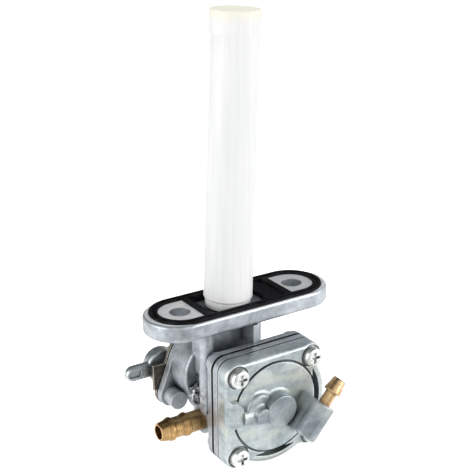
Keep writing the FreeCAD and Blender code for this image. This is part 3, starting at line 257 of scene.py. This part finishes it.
def with_scar(finish, colour, height, edge, scar):
    """A patch of bright and dark flakes, where the casting was left rough."""
    middle, reach = scar
    distance = finish.node("ShaderNodeVectorMath", {"operation": "DISTANCE"},
                           {0: finish.place, 1: middle}, "Value")
    near = finish.band(distance, 0.4 * reach, reach, start=1.0, end=0.0)
    flakes = finish.band(finish.noise(1.3 * MM, detail=5.0), 0.42, 0.58)
    colour = finish.blend(near * 0.9, colour, finish.blend(flakes, SHADE_AND_FLAKE_GREY, edge))
    return colour, height + near * flakes * 6.0


def with_corner_shade(finish, colour, deep):
    """Painted shade: corners are darkened, and the seams go down to the deep colour."""
    for reach, low, high, kept in CORNER_SHADE:
        shaded = finish.blend(kept, SHADE_AND_MARK_TEAL, colour)
        colour = finish.blend(finish.shade(reach, low, high), shaded, colour)
    return finish.blend(finish.shade(SEAM_REACH, 0.15, 0.85), deep, colour)


# %% [markdown]
# ## Die-cast metal
# Under the marks lies the same skin on every casting: soft clouds, a finer mottle and a grain
# like sand. Pure metal is black wherever it mirrors something dark, so a quarter of the skin is plain
# grey. The flange's top is milled flat, which leaves it pale. It is found by its height, because level
# 0 of the frame is that face.

# %% Cast finish
METAL_SHARE = 0.75
MILLED_METAL_SHARE = 0.3
MILLED_FROM, MILLED_TO = -0.15 * MM, -0.05 * MM
SCAR = ((-15.0 * MM, -1.0 * MM, -31.0 * MM), 7.5 * MM)


def cast_finish(name, light, dark, edge, deep, rough, pitting=0.0, tint=None, milled=None, scar=None):
    """`milled` is the flange top's colour, and `scar` the middle and the reach of a rough patch."""
    finish = Finish(name)
    clouds = finish.band(finish.noise(7 * MM, detail=2.5), 0.34, 0.66)
    mottle = finish.noise(1.5 * MM, detail=4.0)
    grain = finish.noise(0.35 * MM, detail=2.0)
    colour = finish.blend(clouds * 0.6 + finish.band(mottle, 0.35, 0.65, end=0.4), dark, light)
    height = grain * 0.4 + mottle * (0.15 + pitting)
    metal = METAL_SHARE
    if tint is not None:
        colour = tower_tone(finish, run_marks(finish, colour, tint))
    # Bright edges: partly rubbed metal, partly a painted highlight.
    colour = finish.blend(finish.rim(0.6 * MM) * 0.6, colour, edge)
    if pitting > 0:
        colour, height = with_pits(finish, colour, height, pitting)
    if scar is not None:
        colour, height = with_scar(finish, colour, height, edge, scar)
    # Painted shade in the corners and the seams.
    colour = with_corner_shade(finish, colour, deep)
    if milled is not None:
        level = finish.part(finish.place, "Z")
        on_top = finish.band(level, MILLED_FROM, MILLED_TO)
        colour = finish.blend(on_top, colour, finish.blend(clouds * 0.5, milled, light))
        metal = finish.band(level, MILLED_FROM, MILLED_TO, METAL_SHARE, MILLED_METAL_SHARE)
    finish.relief(height, depth=0.09 * MM, edge=0.35 * MM)
    return finish.surface(
        Base_Color=colour, Metallic=metal,
        Roughness=finish.band(clouds, 0.0, 1.0, rough - 0.07, rough + 0.07),
    )


cast_grey = cast_finish(
    "cast_body", light=rgb(0.54, 0.575, 0.61), dark=rgb(0.33, 0.36, 0.395), edge=rgb(0.80, 0.82, 0.84),
    deep=SHADE_AND_FLAKE_GREY, rough=0.42, pitting=0.7, milled=rgb(0.88, 0.89, 0.90), scar=SCAR)
cast_cover = cast_finish(
    "cast_cover", light=rgb(0.58, 0.635, 0.655), dark=rgb(0.34, 0.395, 0.415),
    edge=rgb(0.84, 0.88, 0.89), deep=rgb(0.13, 0.155, 0.165), rough=0.42, tint=rgb(0.66, 0.69, 0.60))
cast_lever = cast_finish(
    "cast_lever", light=rgb(0.66, 0.71, 0.72), dark=rgb(0.34, 0.39, 0.40), edge=rgb(0.84, 0.88, 0.88),
    deep=SHADE_AND_MARK_TEAL, rough=0.34)
print("cast finishes:", cast_grey.name, cast_cover.name, cast_lever.name)

# %% [markdown]
# ## Turned brass
# The pipes are turned from bar, so fine rings run round them. An image of rings would have to be
# wrapped round each pipe. One-dimensional noise along the pipe's axis gives the same rings on any
# pipe, whichever way it points.

# %% Turned brass
BRASS_SHADOW = rgb(0.07, 0.04, 0.015)


def turned_finish(name, light, dark, axis, rough):
    """Rings round an axis: noise that only changes along it."""
    finish = Finish(name)
    along = finish.node("ShaderNodeVectorMath", {"operation": "DOT_PRODUCT"},
                        {0: finish.place, 1: axis}, "Value")
    rings = finish.node("ShaderNodeTexNoise", {"noise_dimensions": "1D"},
                        {"W": along, "Scale": 1 / (0.35 * MM), "Detail": 2.0})
    stain = finish.band(finish.noise(3.5 * MM), 0.35, 0.7)
    colour = finish.blend(stain * 0.55 + finish.band(rings, 0.3, 0.7, end=0.45), dark, light)
    colour = finish.blend(finish.shade(2 * MM), BRASS_SHADOW, colour)
    finish.relief(rings, depth=0.03 * MM, edge=0.15 * MM)
    return finish.surface(
        Base_Color=colour, Metallic=1.0, Roughness=finish.band(stain, 0.0, 1.0, rough + 0.08, rough),
    )


NIPPLE_ANGLE = math.radians(48)
outlet_brass = turned_finish(
    "outlet_brass", light=rgb(0.78, 0.52, 0.25), dark=rgb(0.30, 0.165, 0.06),
    axis=(1.0, 0.0, 0.0), rough=0.28)
nipple_brass = turned_finish(
    "nipple_brass", light=rgb(0.80, 0.57, 0.33), dark=rgb(0.48, 0.30, 0.14),
    axis=(math.cos(NIPPLE_ANGLE), 0.0, math.sin(NIPPLE_ANGLE)), rough=0.24)
standpipe_brass = turned_finish(
    "standpipe_brass", light=rgb(0.70, 0.47, 0.20), dark=rgb(0.50, 0.30, 0.11),
    axis=(0.0, 0.0, 1.0), rough=0.3)
print("brass:", outlet_brass.name, nipple_brass.name, standpipe_brass.name)

# %% [markdown]
# ## Plated and browned steel
# The screws are bright zinc plate, the washers a duller one, and the plate behind the valve housing is
# browned, with its cut edges rubbed to bare metal. One function makes all of them, because they only
# differ in colour, in gloss and in whether their edges are worn.

# %% Plated finishes
SCREW_SHADOW = rgb(0.10, 0.10, 0.10)


def plated_finish(name, light, dark, rough, worn=None):
    """`worn` is the colour of edges that are rubbed bright."""
    finish = Finish(name)
    stain = finish.band(finish.noise(2.2 * MM), 0.35, 0.7)
    colour = finish.blend(stain, dark, light)
    if worn is not None:
        colour = finish.blend(finish.rim(0.5 * MM), colour, worn)
    colour = finish.blend(finish.shade(0.9 * MM, 0.1, 0.8), SCREW_SHADOW, colour)
    finish.relief(finish.noise(0.3 * MM, detail=2.0), depth=0.015 * MM, edge=0.12 * MM)
    return finish.surface(
        Base_Color=colour, Metallic=1.0, Roughness=finish.band(stain, 0.0, 1.0, rough + 0.06, rough),
    )


bright_zinc = plated_finish("bright_zinc", rgb(0.88, 0.90, 0.88), rgb(0.66, 0.68, 0.67), rough=0.40)
washer_zinc = plated_finish("washer_zinc", rgb(0.40, 0.42, 0.42), rgb(0.20, 0.22, 0.22), rough=0.34)
spring_steel = plated_finish("spring_steel", rgb(0.52, 0.52, 0.53), rgb(0.34, 0.34, 0.35), rough=0.3)
brown_steel = plated_finish("brown_steel", rgb(0.17, 0.155, 0.14), rgb(0.075, 0.065, 0.055), rough=0.36,
                            worn=rgb(0.80, 0.74, 0.64))
print("plated:", bright_zinc.name, washer_zinc.name, spring_steel.name, brown_steel.name)

# %% [markdown]
# ## Black rubber
# The gaskets, seals and diaphragms are dull black rubber with a faint bloom. The outer diaphragm's cut
# edge is grey on the left side. Its mesh isn't split for that: the grey edge is told from the rest by
# the way it faces.

# %% Rubber
def rubber_finish(name, light, dark, leftward_grey=None):
    """The last argument is the grey on faces that look to the left."""
    finish = Finish(name)
    bloom = finish.noise(2.5 * MM)
    colour = finish.blend(finish.band(bloom, 0.35, 0.75), dark, light)
    if leftward_grey is not None:
        leftward = 0.0 - finish.facing("X")
        colour = finish.blend(finish.band(leftward, 0.80, 0.99), colour, leftward_grey)
    finish.relief(finish.noise(0.25 * MM, detail=2.0), depth=0.02 * MM, edge=0.2 * MM)
    return finish.surface(
        Base_Color=colour, Roughness=finish.band(bloom, 0.3, 0.7, 0.55, 0.7), Specular_IOR_Level=0.1,
    )


RUBBER_LIGHT, RUBBER_DARK = rgb(0.020, 0.021, 0.024), rgb(0.005, 0.005, 0.006)
black_rubber = rubber_finish("black_rubber", RUBBER_LIGHT, RUBBER_DARK)
left_grey_rubber = rubber_finish("left_grey_rubber", RUBBER_LIGHT, RUBBER_DARK, leftward_grey=rgb(0.20, 0.205, 0.22))
print("rubber:", black_rubber.name, left_grey_rubber.name)

# %% [markdown]
# ## Nylon
# The filter tube is natural nylon, milky white, and its mesh shows through as fine upright lines. The
# cap has yellowed near its top, and its thin top lets light through. Real light inside the nylon would
# need many samples, so a faint glow on the faces that look up stands for it.

# %% Nylon
AGED_FROM, AGED_TO = 90.5 * MM, 94.0 * MM
NO_GLOW = rgb(0.0, 0.0, 0.0)
GLOW = 0.22


def nylon_finish(name, light, dark, rough, aged=None):
    """`aged` is the colour near the cap's top."""
    finish = Finish(name)
    cloud = finish.band(finish.noise(14 * MM, detail=2.0, stretch=(1.0, 1.0, 0.3)), 0.3, 0.7)
    lines = finish.band(finish.noise(1.3 * MM, detail=1.0, stretch=(1.0, 1.0, 0.02)), 0.38, 0.62)
    colour = finish.blend(cloud * 0.5 + lines * 0.5, dark, light)
    if aged is not None:
        level = finish.part(finish.place, "Z")
        colour = finish.blend(finish.band(level, AGED_FROM, AGED_TO), colour, aged)
        let_through = finish.blend(finish.band(finish.facing("Z"), 0.7, 0.95), NO_GLOW, aged)
        finish.surface(Emission_Color=let_through, Emission_Strength=GLOW)
    height = lines * 0.8 + finish.noise(0.6 * MM, detail=2.0) * 0.2
    finish.relief(height, depth=0.03 * MM, edge=0.25 * MM)
    return finish.surface(
        Base_Color=colour, Specular_IOR_Level=0.3,
        Roughness=finish.band(cloud, 0.0, 1.0, rough + 0.05, rough),
    )


NYLON_LIGHT, NYLON_DARK = rgb(0.87, 0.87, 0.865), rgb(0.80, 0.81, 0.815)
white_nylon = nylon_finish("white_nylon", NYLON_LIGHT, NYLON_DARK, rough=0.42)
cap_nylon = nylon_finish("cap_nylon", NYLON_LIGHT, NYLON_DARK, rough=0.42, aged=rgb(0.88, 0.87, 0.76))
black_plastic = nylon_finish(
    "black_plastic", rgb(0.035, 0.035, 0.037), rgb(0.02, 0.02, 0.021), rough=0.4)
print("nylon:", white_nylon.name, cap_nylon.name, black_plastic.name)

# %% [markdown]
# ## Which piece has which finish
# A CAD node keeps its mesh, and only its material slot is filled. The table goes by finish, as a
# maker would list which pieces go to which bath.

# %% Finish the CAD nodes
FINISHES = {
    cast_grey: ("tap_body", "diaphragm_spacer"),
    cast_cover: ("diaphragm_cover",),
    cast_lever: ("lever",),
    outlet_brass: ("fuel_outlet",),
    nipple_brass: ("vacuum_nipple",),
    standpipe_brass: ("main_standpipe",),
    bright_zinc: ("cover_screws", "plate_screws", "plunger_sleeve"),
    washer_zinc: ("cover_washers",),
    brown_steel: ("retaining_plate",),
    spring_steel: ("wave_washer", "spring_seat", "diaphragm_spring"),
    black_rubber: ("tank_gasket", "valve_seal", "lever_o_ring", "plate_gasket", "inner_diaphragm",
                   "plunger_seal"),
    left_grey_rubber: ("outer_diaphragm",),
    white_nylon: ("filter_tube",),
    cap_nylon: ("filter_cap",),
    black_plastic: ("plunger",),
}
for finish, names in FINISHES.items():
    for name in names:
        slots = frame["nodes"][name].data.materials
        slots.clear()
        slots.append(finish)
print("finished:", sum(len(names) for names in FINISHES.values()), "nodes")

# %% [markdown]
# ## The rough web above the outlet
# Where the valve housing meets the outlet's boss, the casting has a lumpy web, left as it came out of
# the die. Sculpting it would take longer and give no more: a block is cut finer, which also rounds it,
# and a cloud texture pushes its points in and out.

# %% Rough web
WEB_MIDDLE = (-13.4 * MM, 3.0 * MM, -34.0 * MM)
WEB_SIZE = (8.4 * MM, 7.0 * MM, 9.4 * MM)
LUMP_SIZE, LUMP_HEIGHT, LUMP_MID_LEVEL = 2.0 * MM, 2.4 * MM, 0.4

bpy.ops.mesh.primitive_cube_add(size=1.0, location=WEB_MIDDLE)
web = bpy.context.object
web.name = "rough_web"
web.dimensions = WEB_SIZE
bpy.ops.object.transform_apply(location=True, rotation=False, scale=True)
finer = web.modifiers.new("finer", "SUBSURF")
finer.levels = 4
bpy.ops.object.modifier_apply(modifier="finer")
lumps = web.modifiers.new("lumps", "DISPLACE")
lumps.texture = bpy.data.textures.new("lumps", "CLOUDS")
lumps.texture.noise_scale = LUMP_SIZE
lumps.texture_coords = "LOCAL"
lumps.strength = LUMP_HEIGHT
lumps.mid_level = LUMP_MID_LEVEL
bpy.ops.object.modifier_apply(modifier="lumps")
bpy.ops.object.shade_smooth()
web.data.materials.append(cast_grey)
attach(web, "housing")
print("web:", len(web.data.polygons), "faces")

# %% [markdown]
# ## Floor
# The picture has a white ground with a soft shadow on it. A floor that is white by lamplight alone
# needs lamps that bleach the pale parts as well, so this one also glows by itself and the lamps stay
# low. Metal mirrors it at a lower glow than the camera sees, so the front faces keep their grey.

# %% Floor
WHITE = rgb(1.0, 1.0, 1.0)
FLOOR_SIZE = 6.0
FLOOR_GAP = 0.2 * MM
FLOOR_GLOW = 0.72
MIRRORED_GLOW = rgb(0.6, 0.6, 0.6)

low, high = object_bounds()
bpy.ops.mesh.primitive_plane_add(size=FLOOR_SIZE, location=(0.0, 0.0, low.z - FLOOR_GAP))
floor = bpy.context.object
floor.name = "floor"
paper = Finish("paper")
seen = paper.node("ShaderNodeLightPath", output="Is Camera Ray")
mirrored = paper.node("ShaderNodeLightPath", output="Is Glossy Ray")
glow = paper.blend(mirrored, paper.blend(seen, NO_GLOW, WHITE), MIRRORED_GLOW)
paper.surface(
    Base_Color=WHITE, Roughness=1.0, Specular_IOR_Level=0.0, Emission_Color=glow,
    Emission_Strength=FLOOR_GLOW,
)
floor.data.materials.append(paper.material)
print("floor at", round(floor.location.z, 5))

# %% [markdown]
# ## World
# The camera and all that mirrors see plain white. What lights the tap is a calmer grey, which fades
# towards the ceiling as in a room whose lamps stand low, so that upper faces don't bleach.

# %% World
ROOM_LIGHT = 0.55
CEILING_SHARE = 0.7

world = bpy.data.worlds.new("studio")
bpy.context.scene.world = world
world.use_nodes = True
sky = Sums(world.node_tree)
seen_white = sky.node("ShaderNodeLightPath", output="Is Camera Ray")
for ray in ("Is Glossy Ray", "Is Transmission Ray"):
    other = sky.node("ShaderNodeLightPath", output=ray)
    seen_white = sky.node("ShaderNodeMath", {"operation": "MAXIMUM"}, {0: seen_white, 1: other})
upward = sky.part(sky.node("ShaderNodeTexCoord", output="Generated"), "Z")
room = sky.band(upward, 0.1, 0.9, ROOM_LIGHT, ROOM_LIGHT * CEILING_SHARE, curve="LINEAR")
backdrop = sky.tree.nodes["Background"]
sky.feed(backdrop.inputs["Strength"], sky.band(seen_white, 0.0, 1.0, room, 1.0, curve="LINEAR"))
backdrop.inputs["Color"].default_value = WHITE
print("room light:", ROOM_LIGHT, "and at the ceiling", ROOM_LIGHT * CEILING_SHARE)

# %% [markdown]
# ## Lamps
# Three large soft lamps: the key in front at the right, one at the left for the outlet's side, and one
# overhead that lights the tops but isn't mirrored, as its square would show in the flange.

# %% Lamps
LAMP_TARGET = Vector((0.0, 0.0, -0.02))


def lamp(name, place, size, watts, mirrored=True):
    """A square soft lamp that points at the middle of the tap, and that metal may mirror or not."""
    light = bpy.data.lights.new(name, "AREA")
    light.size = size
    light.energy = watts
    made = bpy.data.objects.new(name, light)
    bpy.context.scene.collection.objects.link(made)
    made.location = place
    made.visible_glossy = mirrored
    made.rotation_mode = "QUATERNION"
    made.rotation_quaternion = (LAMP_TARGET - Vector(place)).to_track_quat("-Z", "Y")
    print("lamp", name, "at", place, "with", watts, "W")


lamp("key", place=(0.48, -0.60, 0.12), size=0.36, watts=2.9)
lamp("left", place=(-0.65, 0.0, 0.12), size=0.3, watts=1.8)
lamp("top", place=(-0.1, -0.05, 0.75), size=0.4, watts=1.9, mirrored=False)

# %% [markdown]
# ## Dark cards
# Metal only has the contrast of what it mirrors. In a studio that comes from dark cards. One overhead
# and one behind darken the faces that look up. One on the table at the left makes the front faces run
# from dark at the left to bright at the right. The camera doesn't see the cards, and they cast no shadow.

# %% Dark cards
felt = Finish("felt")
felt.surface(Base_Color=rgb(0.03, 0.03, 0.03), Roughness=1.0, Specular_IOR_Level=0.0)


def card(name, place, size, tilt=0.0):
    """A square of felt, tilted by so many degrees about X, that only mirrors see."""
    bpy.ops.mesh.primitive_plane_add(size=size, location=place, rotation=(math.radians(tilt), 0.0, 0.0))
    made = bpy.context.object
    made.name = name
    made.visible_camera = False
    made.visible_shadow = False
    made.visible_diffuse = False
    made.data.materials.append(felt.material)
    print(name, "at", place)


card("card_overhead", place=(0.0, 0.1, 0.60), size=1.1)
card("card_behind", place=(0.0, 0.65, 0.68), size=1.3, tilt=80.0)
card("card_on_table", place=(-0.20, -0.36, low.z + 1 * MM), size=0.54)

# %% [markdown]
# ## Camera
# The camera stands in front, a little to the left and above. Its angles and its lens were worked out
# from the places of the two bolt holes, the flange's outline and the filter tube in the picture. The
# frame's origin falls on one pixel of it, and the camera is set back from there along its own axes.

# %% Camera
TURN, TILT, ROLL = (math.radians(angle) for angle in (-32.83, 20.16, 0.4))
IMAGE_SIZE = 470.0
FOCAL_PIXELS = 1092.0
ORIGIN_PIXEL = (237.2, 296.6)
DISTANCE = 361.7 * MM

forward = Vector((-math.sin(TURN) * math.cos(TILT), math.cos(TURN) * math.cos(TILT), -math.sin(TILT)))
level_right = Vector((math.cos(TURN), math.sin(TURN), 0.0))
level_up = level_right.cross(forward)
right = level_right * math.cos(ROLL) - level_up * math.sin(ROLL)
up = level_up * math.cos(ROLL) + level_right * math.sin(ROLL)
across, down = ((pixel - IMAGE_SIZE / 2) / FOCAL_PIXELS * DISTANCE for pixel in ORIGIN_PIXEL)
lens = bpy.data.cameras.new("camera")
lens.sensor_width = 36.0
lens.lens = FOCAL_PIXELS / IMAGE_SIZE * lens.sensor_width
lens.clip_start, lens.clip_end = 0.01, 20.0
camera = bpy.data.objects.new("camera", lens)
bpy.context.scene.collection.objects.link(camera)
setback = -(forward * DISTANCE + right * across - up * down)
axes = Matrix((right, up, -forward)).transposed().to_4x4()
camera.matrix_world = Matrix.Translation(setback) @ axes
bpy.context.scene.camera = camera
bpy.context.scene.view_settings.view_transform = "Standard"
print("camera at", [round(c, 4) for c in camera.matrix_world.translation])
